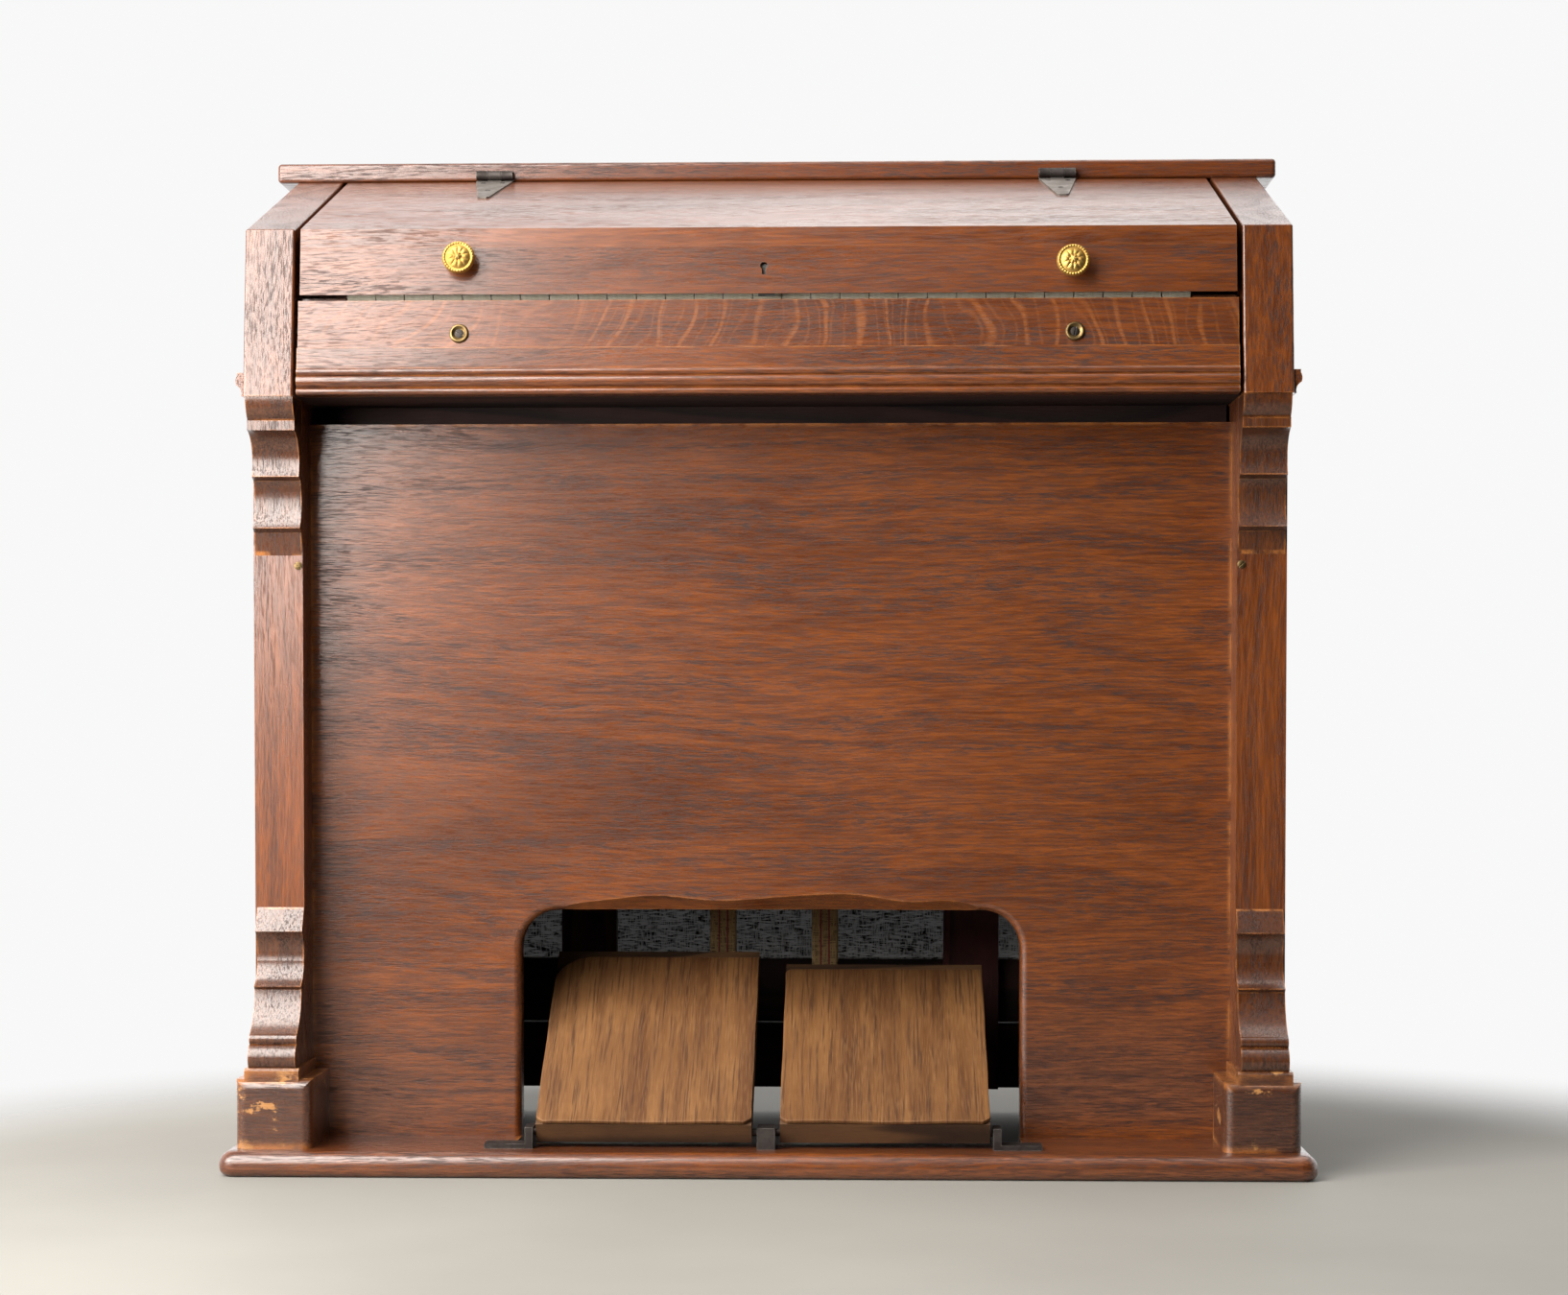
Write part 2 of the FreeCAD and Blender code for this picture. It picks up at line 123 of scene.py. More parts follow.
def newGroup(name, inputs, outputs):
    tree = bpy.data.node_groups.new(name, "ShaderNodeTree")
    for label, kind, value in inputs:
        socket = tree.interface.new_socket(name=label, in_out="INPUT",
                                           socket_type="NodeSocket" + kind)
        if value is not None:
            socket.default_value = value
    for label, kind in outputs:
        tree.interface.new_socket(name=label, in_out="OUTPUT", socket_type="NodeSocket" + kind)
    return tree, tree.nodes.new("NodeGroupInput").outputs, tree.nodes.new("NodeGroupOutput")


def useGroup(tree, group, inputs):
    node = tree.nodes.new("ShaderNodeGroup")
    node.node_tree = group
    for key, value in inputs.items():
        if isinstance(value, bpy.types.NodeSocket):
            tree.links.new(value, node.inputs[key])
        else:
            node.inputs[key].default_value = value
    return node.outputs


# growth rings, long pores, streaks and uneven colour along a board's first axis
def makeOakFigure():
    sockets = [("Position", "Vector", None), ("Rings", "Float", 9.0), ("Wander", "Float", 0.03)]
    outputs = [("Rings", "Float"), ("Pores", "Float"), ("Patches", "Float"),
               ("Streaks", "Float"), ("Lines", "Float")]
    tree, given, out = newGroup("oakFigure", sockets, outputs)
    straight = given["Position"]
    drift = calc(tree, "SUBTRACT", noiseOf(tree, straight, (2.2, 5.0, 5.0), 2.5), 0.5)
    drift = calc(tree, "MULTIPLY", drift, given["Wander"])
    shift = putNode(tree, "CombineXYZ", {1: drift, 2: drift}).outputs[0]
    moved = putNode(tree, "VectorMath", {0: straight, 1: shift}, operation="ADD").outputs[0]
    swell = noiseOf(tree, moved, (0.8, 7.5, 7.5), 2.0, 0.4)
    turn = calc(tree, "FRACT", calc(tree, "MULTIPLY", swell, given["Rings"]))
    early = band(tree, turn, 0.0, 0.7)
    late = band(tree, turn, 0.86, 1.0, 1.0, 0.0)
    rings = calc(tree, "MULTIPLY", early, late)
    streaks = noiseOf(tree, moved, (5.0, 150.0, 150.0), 3.0, 0.2, 0.6)
    coarse = band(tree, noiseOf(tree, moved, (60.0, 900.0, 900.0), 2.0, 0.0, 0.55), 0.49, 0.6)
    fine = band(tree, noiseOf(tree, moved, (140.0, 1900.0, 1900.0), 1.0), 0.47, 0.6)
    coarse = calc(tree, "MULTIPLY", coarse, 0.75)
    both = calc(tree, "ADD", coarse, calc(tree, "MULTIPLY", fine, 0.4))
    crowd = band(tree, rings, 0.0, 1.0, 1.0, 0.6)  # fewer pores in the early wood
    pores = calc(tree, "MULTIPLY", both, crowd, clamp=True)
    patches = noiseOf(tree, straight, (2.6, 7.0, 7.0), 3.0, 0.3, 0.6)
    lines = noiseOf(tree, moved, (28.0, 480.0, 480.0), 2.0, 0.0, 0.6)
    found = {"Rings": rings, "Pores": pores, "Patches": patches, "Streaks": streaks, "Lines": lines}
    for label, socket in found.items():
        tree.links.new(socket, out.inputs[label])
    return tree


# pale rays that fan out below a centre, for quarter-sawn boards
def makeRayFleck():
    sockets = [("Centre X", "Float", 0.15), ("Centre Z", "Float", 0.68), ("Fan", "Float", 2.2),
               ("Lines", "Float", 30.0)]
    tree, given, out = newGroup("rayFleck", sockets, [("Mask", "Float")])
    place = putNode(tree, "TexCoord").outputs["Object"]
    parts = putNode(tree, "SeparateXYZ", {0: place}).outputs
    drop = calc(tree, "SUBTRACT", given["Centre Z"], parts[2])
    spread = calc(tree, "ADD", 1.0, calc(tree, "MULTIPLY", drop, given["Fan"]))
    fan = calc(tree, "DIVIDE", calc(tree, "SUBTRACT", parts[0], given["Centre X"]), spread)
    bow = calc(tree, "MULTIPLY", calc(tree, "MULTIPLY", drop, drop), 6.0)
    across = calc(tree, "MULTIPLY", calc(tree, "ADD", fan, bow), given["Lines"])
    warp = noiseOf(tree, place, (14.0, 8.0, 9.0), 2.0)
    across = calc(tree, "ADD", across, calc(tree, "MULTIPLY", warp, 3.2))
    first = calc(tree, "ABSOLUTE", calc(tree, "SUBTRACT", calc(tree, "FRACT", across), 0.5))
    other = calc(tree, "FRACT", calc(tree, "MULTIPLY", across, 2.37))
    second = calc(tree, "ABSOLUTE", calc(tree, "SUBTRACT", other, 0.5))
    strong = band(tree, first, 0.02, 0.11, 1.0, 0.0)
    weak = band(tree, second, 0.02, 0.14, 0.45, 0.0)
    lines = calc(tree, "MAXIMUM", strong, weak)
    grainy = noiseOf(tree, place, (60.0, 300.0, 420.0), 2.0)
    lines = calc(tree, "MULTIPLY", lines, band(tree, grainy, 0.3, 0.6, 0.35, 1.0))
    where = band(tree, noiseOf(tree, place, (6.0, 6.0, 10.0), 1.0), 0.36, 0.56)
    tree.links.new(calc(tree, "MULTIPLY", lines, where), out.inputs["Mask"])
    return tree


# broken wear wherever the surface turns a corner
def makeEdgeWear():
    sockets = [("Radius", "Float", 0.003), ("Breakup", "Float", 60.0), ("Amount", "Float", 1.0)]
    tree, given, out = newGroup("edgeWear", sockets, [("Mask", "Float")])
    soft = putNode(tree, "Bevel", {"Radius": given["Radius"]}, samples=6).outputs[0]
    flat = putNode(tree, "NewGeometry").outputs["Normal"]
    both = {0: soft, 1: flat}
    facing = putNode(tree, "VectorMath", both, operation="DOT_PRODUCT").outputs["Value"]
    bend = band(tree, calc(tree, "SUBTRACT", 1.0, facing), 0.015, 0.16)
    place = putNode(tree, "TexCoord").outputs["Object"]
    inputs = {"Vector": place, "Scale": given["Breakup"], "Detail": 4.0, "Roughness": 0.65}
    chips = band(tree, putNode(tree, "TexNoise", inputs).outputs[0], 0.36, 0.6)
    broken = calc(tree, "MULTIPLY", bend, chips)
    mask = calc(tree, "MULTIPLY", broken, given["Amount"], clamp=True)
    tree.links.new(mask, out.inputs["Mask"])
    return tree


def makeGrime():
    sockets = [("Scale", "Float", 8.0), ("Cover", "Float", 0.5)]
    tree, given, out = newGroup("grime", sockets, [("Mask", "Float")])
    place = putNode(tree, "TexCoord").outputs["Object"]
    inputs = {"Vector": place, "Scale": given["Scale"], "Detail": 6.0, "Roughness": 0.62}
    cloud = putNode(tree, "TexNoise", inputs).outputs[0]
    lowEdge = calc(tree, "SUBTRACT", 0.85, calc(tree, "MULTIPLY", given["Cover"], 0.6))
    lowEdge = calc(tree, "SUBTRACT", lowEdge, 0.3)
    mask = calc(tree, "MULTIPLY", calc(tree, "SUBTRACT", cloud, lowEdge), 2.6, clamp=True)
    tree.links.new(mask, out.inputs["Mask"])
    return tree


# uneven threads that cross in the XZ plane
def makeWeave():
    sockets = [("Position", "Vector", None), ("Threads", "Float", 900.0)]
    outputs = [("Warp", "Float"), ("Weft", "Float"), ("Height", "Float")]
    tree, given, out = newGroup("weave", sockets, outputs)
    parts = putNode(tree, "SeparateXYZ", {0: given["Position"]}).outputs
    threads = given["Threads"]
    runs = []
    for along, across in ((parts[0], parts[2]), (parts[2], parts[0])):
        fast = calc(tree, "MULTIPLY", across, threads)
        slow = calc(tree, "MULTIPLY", along, calc(tree, "MULTIPLY", threads, 0.09))
        deep = calc(tree, "MULTIPLY", parts[1], 7.0)
        place = putNode(tree, "CombineXYZ", {0: fast, 1: slow, 2: deep}).outputs[0]
        inputs = {"Vector": place, "Scale": 1.0, "Detail": 1.0}
        runs.append(band(tree, putNode(tree, "TexNoise", inputs).outputs[0], 0.41, 0.56))
    tree.links.new(runs[0], out.inputs["Warp"])
    tree.links.new(runs[1], out.inputs["Weft"])
    tree.links.new(calc(tree, "MAXIMUM", runs[0], runs[1]), out.inputs["Height"])
    return tree


oakFigure = makeOakFigure()
rayFleck = makeRayFleck()
edgeWear = makeEdgeWear()
grime = makeGrime()
weave = makeWeave()
print("shared effects ready")


def startFinish(name, values):
    material = bpy.data.materials.new(name)
    material.use_nodes = True
    shader = material.node_tree.nodes["Principled BSDF"]
    for label, value in values.items():
        shader.inputs[label].default_value = value
    return material, material.node_tree, shader


def addBump(tree, shader, height, distance, strength):
    bump = putNode(tree, "Bump", {"Height": height, "Distance": distance, "Strength": strength})
    tree.links.new(bump.outputs[0], shader.inputs["Normal"])


def heightAt(tree, place):
    return putNode(tree, "SeparateXYZ", {0: place}).outputs[2]


def grainPosition(tree, along, seed):
    # turns the grain's axis to X and moves every board to its own piece of wood
    place = putNode(tree, "TexCoord").outputs["Object"]
    parts = putNode(tree, "SeparateXYZ", {0: place}).outputs
    order = {"X": (0, 1, 2), "Y": (1, 0, 2), "Z": (2, 1, 0)}[along]
    inputs = {i: parts[axis] for i, axis in enumerate(order)}
    turned = putNode(tree, "CombineXYZ", inputs).outputs[0]
    shift = (seed * 1.37, seed * 0.73, seed * 2.11)
    return putNode(tree, "VectorMath", {0: turned, 1: shift}, operation="ADD").outputs[0]


oakLook = {
    "late": (0.080, 0.0185, 0.0035, 1),
    "early": (0.215, 0.056, 0.0088, 1),
    "pore": (0.017, 0.0045, 0.0022, 1),
    "smoke": (0.055, 0.0145, 0.0042, 1),
    "fleck": (0.27, 0.085, 0.02, 1),
    "worn": (0.36, 0.125, 0.026, 1),
    "wood": (0.42, 0.19, 0.055, 1),
    "bare": 0.0,  # how much raw wood shows where the varnish has gone
    "bareRadius": 0.018,
    "wearAbove": 0.0,  # height below which the edges keep their varnish
    "rings": 9.0,
    "wander": 0.03,
    "ringDepth": 0.2,
    "streakDepth": 0.3,
    "lineDepth": 0.3,
    "patchDepth": 0.3,
    "poreDepth": 0.85,
    "smokeDepth": 0.35,
    "fleckAmount": 0.0,
    "fleckLines": 26.0,
    "roughness": 0.27,
    "coat": 1.0,
    "coatRoughness": 0.23,
    "wear": 0.75,
    "wearRadius": 0.0022,
    "wearBreakup": 55.0,
    "relief": 0.3,
}


def makeOak(name, along, seed, **changes):
    look = dict(oakLook, **changes)
    shine = {"Coat Roughness": look["coatRoughness"], "Specular IOR Level": 0.5}
    material, tree, shader = startFinish(name, shine)
    position = grainPosition(tree, along, seed)
    values = {"Position": position, "Rings": look["rings"], "Wander": look["wander"]}
    figure = useGroup(tree, oakFigure, values)
    patches = figure["Patches"]
    pores = figure["Pores"]
    lightness = calc(tree, "MULTIPLY", figure["Rings"], look["ringDepth"])
    streaks = band(tree, figure["Streaks"], 0.3, 0.7, 0.0, look["streakDepth"])
    lightness = calc(tree, "ADD", lightness, streaks)
    lines = band(tree, figure["Lines"], 0.32, 0.68, -look["lineDepth"], look["lineDepth"])
    lightness = calc(tree, "ADD", lightness, lines)
    cloudy = band(tree, patches, 0.25, 0.75, 0.0, look["patchDepth"])
    lightness = calc(tree, "ADD", lightness, cloudy, clamp=True)
    colour = blendColour(tree, lightness, look["late"], look["early"])
    smoke = band(tree, patches, 0.5, 0.3, 0.0, look["smokeDepth"])
    colour = blendColour(tree, smoke, colour, look["smoke"])
    filled = calc(tree, "MULTIPLY", pores, look["poreDepth"])
    colour = blendColour(tree, filled, colour, look["pore"])
    if look["fleckAmount"]:
        rays = useGroup(tree, rayFleck, {"Lines": look["fleckLines"]})["Mask"]
        rays = calc(tree, "MULTIPLY", rays, look["fleckAmount"])
        colour = blendColour(tree, rays, colour, look["fleck"])
    values = {"Radius": look["wearRadius"], "Breakup": look["wearBreakup"], "Amount": look["wear"]}
    wear = useGroup(tree, edgeWear, values)["Mask"]
    place = putNode(tree, "TexCoord").outputs["Object"]
    if look["wearAbove"]:
        start = look["wearAbove"]
        lifted = band(tree, heightAt(tree, place), start, start + 0.006)
        wear = calc(tree, "MULTIPLY", wear, lifted)
    colour = blendColour(tree, wear, colour, look["worn"])
    if look["bare"]:
        chips = noiseOf(tree, place, (26.0, 26.0, 38.0), 5.0, 0.0, 0.68)
        values = {"Radius": look["bareRadius"], "Breakup": 30.0}
        edge = useGroup(tree, edgeWear, values)["Mask"]
        chips = calc(tree, "ADD", chips, calc(tree, "MULTIPLY", edge, 0.08))
        chips = band(tree, chips, 0.60, 0.635, 0.0, look["bare"])
        colour = blendColour(tree, chips, colour, look["wood"])
    tree.links.new(colour, shader.inputs["Base Color"])
    rough = calc(tree, "ADD", calc(tree, "MULTIPLY", pores, 0.3), look["roughness"])
    rough = calc(tree, "ADD", rough, band(tree, patches, 0.3, 0.8, -0.04, 0.06))
    tree.links.new(rough, shader.inputs["Roughness"])
    coat = band(tree, pores, 0.1, 0.9, look["coat"], 0.1)
    tree.links.new(coat, shader.inputs["Coat Weight"])
    addBump(tree, shader, calc(tree, "SUBTRACT", 1.0, pores), 0.0003, look["relief"])
    return material


plainLook = {"rings": 12.0, "depth": 0.8, "pores": 0.35, "dust": 0.45, "relief": 0.35}


def makePlainWood(name, along, seed, dark, light, roughness, **changes):
    look = dict(plainLook, **changes)
    material, tree, shader = startFinish(name, {"Specular IOR Level": 0.35})
    position = grainPosition(tree, along, seed)
    figure = useGroup(tree, oakFigure, {"Position": position, "Rings": look["rings"]})
    dust = useGroup(tree, grime, {"Scale": 9.0, "Cover": 0.5})["Mask"]
    rings = calc(tree, "MULTIPLY", figure["Rings"], look["depth"])
    colour = blendColour(tree, rings, dark, light)
    pores = calc(tree, "MULTIPLY", figure["Pores"], look["pores"])
    colour = blendColour(tree, pores, colour, dark)
    dirt = calc(tree, "MULTIPLY", dust, look["dust"])
    colour = blendColour(tree, dirt, colour, dark, "MULTIPLY")
    tree.links.new(colour, shader.inputs["Base Color"])
    rough = calc(tree, "ADD", calc(tree, "MULTIPLY", dust, 0.15), roughness)
    tree.links.new(rough, shader.inputs["Roughness"])
    addBump(tree, shader, figure["Pores"], 0.0003, look["relief"])
    return material


treadLook = {
    "light": (0.215, 0.097, 0.031, 1),
    "dark": (0.090, 0.034, 0.0105, 1),
    "streak": (0.03, 0.0115, 0.0045, 1),
    "rubbed": (0.33, 0.175, 0.07, 1),
    "stain": 0.5,
    "wear": 0.6,
    "relief": 0.5,
}


def makeTread():
    material, tree, shader = startFinish("rubbedTread", {"Specular IOR Level": 0.3})
    place = putNode(tree, "TexCoord").outputs["Object"]
    broad = noiseOf(tree, place, (75.0, 4.0, 4.0), 4.0, 0.3, 0.6)
    thin = noiseOf(tree, place, (480.0, 16.0, 16.0), 2.0, 0.1)
    hair = noiseOf(tree, place, (1100.0, 60.0, 60.0), 1.0)
    light = band(tree, broad, 0.32, 0.68)
    colour = blendColour(tree, light, treadLook["dark"], treadLook["light"])
    streaks = band(tree, thin, 0.52, 0.66, 0.0, 0.75)
    colour = blendColour(tree, streaks, colour, treadLook["streak"])
    hairs = band(tree, hair, 0.45, 0.7, 0.0, 0.3)
    colour = blendColour(tree, hairs, colour, treadLook["rubbed"])
    stain = useGroup(tree, grime, {"Scale": 16.0, "Cover": 0.55})["Mask"]
    stain = calc(tree, "MULTIPLY", stain, treadLook["stain"])
    colour = blendColour(tree, stain, colour, treadLook["dark"])
    values = {"Radius": 0.0025, "Breakup": 90.0, "Amount": treadLook["wear"]}
    edge = useGroup(tree, edgeWear, values)["Mask"]
    colour = blendColour(tree, edge, colour, treadLook["rubbed"])
    tree.links.new(colour, shader.inputs["Base Color"])
    tree.links.new(band(tree, thin, 0.3, 0.7, 0.5, 0.68), shader.inputs["Roughness"])
    addBump(tree, shader, thin, 0.0003, treadLook["relief"])
    return material


metalLook = {
    "scale": 60.0,
    "cover": 0.5,
    "wearRadius": 0.0012,
    "wearBreakup": 160.0,
    "relief": 0.25,
    "shade": (0.075, 0.064, 0.06, 1),
    "shadeAbove": 0.0,  # height above which the metal is painted dark as shade
}


def makeMetal(name, **changes):
    look = dict(metalLook, **changes)
    material, tree, shader = startFinish(name, {"Metallic": 1.0})
    mask = useGroup(tree, grime, {"Scale": look["scale"], "Cover": look["cover"]})["Mask"]
    colour = blendColour(tree, mask, look["colour"], look["dull"])
    values = {"Radius": look["wearRadius"], "Breakup": look["wearBreakup"], "Amount": look["wear"]}
    rubbed = useGroup(tree, edgeWear, values)["Mask"]
    colour = blendColour(tree, rubbed, colour, look["bright"])
    # painted shade: the metal above the given height takes the dark shade colour
    if look["shadeAbove"]:
        start = look["shadeAbove"]
        height = heightAt(tree, putNode(tree, "TexCoord").outputs["Object"])
        black = band(tree, height, start, start + 0.001)
        colour = blendColour(tree, black, colour, look["shade"])
    tree.links.new(colour, shader.inputs["Base Color"])
    rough = calc(tree, "ADD", calc(tree, "MULTIPLY", mask, 0.25), look["roughness"])
    tree.links.new(rough, shader.inputs["Roughness"])
    addBump(tree, shader, mask, 0.0002, look["relief"])
    return material


keyLook = {
    "white": (0.72, 0.68, 0.56, 1),
    "grain": (0.60, 0.55, 0.43, 1),
    "stain": (0.36, 0.30, 0.2, 1),
    "black": (0.012, 0.011, 0.01, 1),
    "dusty": (0.03, 0.026, 0.022, 1),
    "clearance": 0.0003,
}


# white up to the level of the white keys' tops and black above it, for ranks with both
def makeKeyWhite():
    shine = {"Coat Weight": 0.3, "Coat Roughness": 0.1}
    material, tree, shader = startFinish("agedCelluloid", shine)
    mask = useGroup(tree, grime, {"Scale": 30.0, "Cover": 0.45})["Mask"]
    place = putNode(tree, "TexCoord").outputs["Object"]
    grain = band(tree, noiseOf(tree, place, (300.0, 20.0, 20.0), 2.0), 0.3, 0.7)
    colour = blendColour(tree, grain, keyLook["grain"], keyLook["white"])
    stain = calc(tree, "MULTIPLY", mask, 0.4)
    colour = blendColour(tree, stain, colour, keyLook["stain"])
    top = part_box("key_c")[1].z + keyLook["clearance"]
    sharp = calc(tree, "GREATER_THAN", heightAt(tree, place), top)
    colour = blendColour(tree, sharp, colour, keyLook["black"])
    tree.links.new(colour, shader.inputs["Base Color"])
    rough = calc(tree, "ADD", calc(tree, "MULTIPLY", mask, 0.2), 0.28)
    tree.links.new(rough, shader.inputs["Roughness"])
    return material


def makeKeyBlack():
    material, tree, shader = startFinish("stainedSharp", {"Coat Weight": 0.2})
    mask = useGroup(tree, grime, {"Scale": 40.0, "Cover": 0.5})["Mask"]
    colour = blendColour(tree, mask, keyLook["black"], keyLook["dusty"])
    tree.links.new(colour, shader.inputs["Base Color"])
    rough = calc(tree, "ADD", calc(tree, "MULTIPLY", mask, 0.25), 0.25)
    tree.links.new(rough, shader.inputs["Roughness"])
    return material


grilleLook = {"dark": (0.03, 0.029, 0.026, 1), "light": (0.26, 0.25, 0.23, 1), "threads": 1250.0,
              "weft": 0.8, "sheer": 0.04, "roughness": 0.9, "relief": 0.6}


def makeGrilleWeave():
    dull = {"Specular IOR Level": 0.2, "Sheen Weight": 0.15}
    material, tree, shader = startFinish("grilleCloth", dull)
    place = putNode(tree, "TexCoord").outputs["Object"]
    cloth = useGroup(tree, weave, {"Position": place, "Threads": grilleLook["threads"]})
    colour = blendColour(tree, cloth["Warp"], grilleLook["dark"], grilleLook["light"])
    weft = calc(tree, "MULTIPLY", cloth["Weft"], grilleLook["weft"])
    colour = blendColour(tree, weft, colour, grilleLook["light"])
    # light comes through between the threads
    weft = calc(tree, "MULTIPLY", cloth["Weft"], grilleLook["weft"])
    thread = calc(tree, "MAXIMUM", cloth["Warp"], weft)
    solid = band(tree, thread, 0.5, 1.0, 1.0, 1.0 - grilleLook["sheer"])
    tree.links.new(solid, shader.inputs["Alpha"])
    tree.links.new(colour, shader.inputs["Base Color"])
    rough = calc(tree, "MULTIPLY", cloth["Height"], 0.05)
    rough = calc(tree, "ADD", rough, grilleLook["roughness"])
    tree.links.new(rough, shader.inputs["Roughness"])
    addBump(tree, shader, cloth["Height"], 0.0004, grilleLook["relief"])
    return material


webbingLook = {"jute": (0.15, 0.095, 0.04, 1), "shade": (0.065, 0.04, 0.018, 1),
               "stripe": (0.09, 0.012, 0.012, 1), "threads": 900.0, "relief": 0.6,
               "centre": 0.0444, "stripeAt": 0.0036, "stripeWide": 0.0007}


def makeWebbing():
    look = webbingLook
    material, tree, shader = startFinish("juteWebbing", {"Specular IOR Level": 0.2})
    place = putNode(tree, "TexCoord").outputs["Object"]
    cloth = useGroup(tree, weave, {"Position": place, "Threads": look["threads"]})
    colour = blendColour(tree, cloth["Height"], look["shade"], look["jute"])
    across = putNode(tree, "SeparateXYZ", {0: place}).outputs[0]
    across = calc(tree, "ABSOLUTE", across)
    across = calc(tree, "ABSOLUTE", calc(tree, "SUBTRACT", across, look["centre"]))
    away = calc(tree, "ABSOLUTE", calc(tree, "SUBTRACT", across, look["stripeAt"]))
    stripe = calc(tree, "LESS_THAN", away, look["stripeWide"])
    colour = blendColour(tree, stripe, colour, look["stripe"])
    tree.links.new(colour, shader.inputs["Base Color"])
    rough = band(tree, cloth["Height"], 0.0, 1.0, 0.95, 0.8)
    tree.links.new(rough, shader.inputs["Roughness"])
    addBump(tree, shader, cloth["Height"], 0.0004, look["relief"])
    return material


finishes = {
    "knee": makeOak("oakKneePanel", "X", 3.1, rings=13.0, wearRadius=0.007, wear=0.95,
                    wearBreakup=38.0, wearAbove=0.032),
    "slip": makeOak("oakKeySlip", "X", 7.7, rings=7.0, fleckAmount=0.55, fleckLines=38.0,
                    early=(0.185, 0.047, 0.008, 1)),
    "moulding": makeOak("oakSlipMoulding", "X", 9.3, rings=7.0, wear=1.0, wearBreakup=25.0),
    "lidFront": makeOak("oakLidFront", "X", 12.4, rings=10.0, wear=0.12,
                        early=(0.185, 0.047, 0.008, 1)),
    "lidTop": makeOak("oakLidTop", "X", 15.2, rings=8.0, wear=0.12, poreDepth=0.4, relief=0.15),
    "top": makeOak("oakTopBoard", "X", 18.8, rings=8.0, wear=0.95, early=(0.17, 0.042, 0.008, 1)),
    "base": makeOak("oakBase", "X", 21.5, rings=8.0, wearRadius=0.012, wearBreakup=40.0),
    "runner": makeOak("oakRunner", "Y", 24.0, rings=8.0),
    "cheek": makeOak("oakCheek", "Z", 27.1, relief=0.25),
    "post": makeOak("oakPost", "Z", 30.6, wear=0.3, poreDepth=0.55),
    "bracket": makeOak("oakBracket", "Z", 33.3, rings=7.0, wear=0.9, wearRadius=0.0025,
                       early=(0.13, 0.037, 0.0085, 1), late=(0.05, 0.014, 0.004, 1)),
    "foot": makeOak("oakFoot", "X", 36.9, rings=7.0, wear=1.0, wearRadius=0.013,
                    wearBreakup=26.0, ringDepth=0.12, streakDepth=0.15, bare=0.85,
                    early=(0.13, 0.036, 0.008, 1), late=(0.05, 0.013, 0.004, 1)),
    "side": makeOak("oakSide", "Z", 39.2, rings=10.0),
    "railing": makeOak("oakSideMoulding", "Y", 42.7, rings=8.0),
    "dark": makePlainWood("darkInside", "X", 1.0, dark=(0.018, 0.007, 0.0055, 1),
                          light=(0.058, 0.019, 0.013, 1), roughness=0.6),
    "darkUp": makePlainWood("darkBackFrame", "Z", 2.0, dark=(0.05, 0.011, 0.010, 1),
                            light=(0.15, 0.032, 0.026, 1), roughness=0.45),
    "pale": makePlainWood("plainSpruce", "X", 5.0, dark=(0.30, 0.19, 0.09, 1),
                          light=(0.55, 0.40, 0.22, 1), roughness=0.6, depth=0.9),
    "pedal": makePlainWood("pedalBoard", "X", 6.0, dark=(0.05, 0.024, 0.011, 1),
                           light=(0.19, 0.092, 0.037, 1), roughness=0.62),
    "tread": makeTread(),
    "brass": makeMetal("agedBrass", colour=(0.66, 0.43, 0.12, 1), dull=(0.40, 0.235, 0.06, 1),
                       bright=(0.88, 0.64, 0.24, 1), roughness=0.36, wear=0.9),
    "darkBrass": makeMetal("cupBrass", colour=(0.33, 0.22, 0.09, 1), dull=(0.10, 0.065, 0.03, 1),
                           bright=(0.6, 0.45, 0.2, 1), roughness=0.3, wear=0.8),
    "iron": makeMetal("blackenedIron", colour=(0.115, 0.10, 0.093, 1),
                      dull=(0.045, 0.037, 0.034, 1), bright=(0.28, 0.26, 0.24, 1),
                      roughness=0.42, wear=0.7, scale=70.0, cover=0.6),
    # the leaf's part level with the top board, above its underside, is painted dark as shade
    "leafIron": makeMetal("greyIron", colour=(0.33, 0.305, 0.28, 1), dull=(0.17, 0.15, 0.135, 1),
                          bright=(0.42, 0.39, 0.36, 1), roughness=0.42, wear=0.8, scale=70.0,
                          cover=0.6, shadeAbove=0.8425),
    "steel": makeMetal("plainSteel", colour=(0.2, 0.195, 0.185, 1), dull=(0.09, 0.083, 0.075, 1),
                       bright=(0.75, 0.74, 0.72, 1), roughness=0.28, wear=0.6),
    "white": makeKeyWhite(),
    "black": makeKeyBlack(),
    "grille": makeGrilleWeave(),
    "webbing": makeWebbing(),
}

# a node takes the finish of the longest name here that it starts with
nodeFinish = {
    "knee_panel": "knee", "key_slip": "slip", "key_slip_moulding": "moulding",
    "lid_front": "lidFront", "lid_slope": "lidTop", "top_board": "top", "base_plank": "base",
    "base_runner": "runner", "cheek": "cheek", "stile": "post", "upper_bracket": "bracket",
    "lower_bracket": "bracket", "foot_block": "foot", "side_panel": "side",
    "side_moulding": "railing", "back_panel": "dark", "back_frame": "darkUp",
    "back_boards": "dark", "keybed": "dark", "bellows_board": "dark", "reservoir_board": "dark",
    "feeder": "dark", "strap_roller": "dark", "reed_pan": "dark", "strap": "webbing",
    "name_board": "lidFront", "key_block": "lidFront", "key_frame": "pale", "keys": "white",
    "key": "white", "key_c_sharp": "black", "key_d_sharp": "black", "knob": "brass",
    "hinge_fixed": "iron", "hinge_leaf": "leafIron", "pedal_bracket": "iron",
    "lock_bolt": "steel", "pedal": "pedal", "grille_cloth": "grille",
}


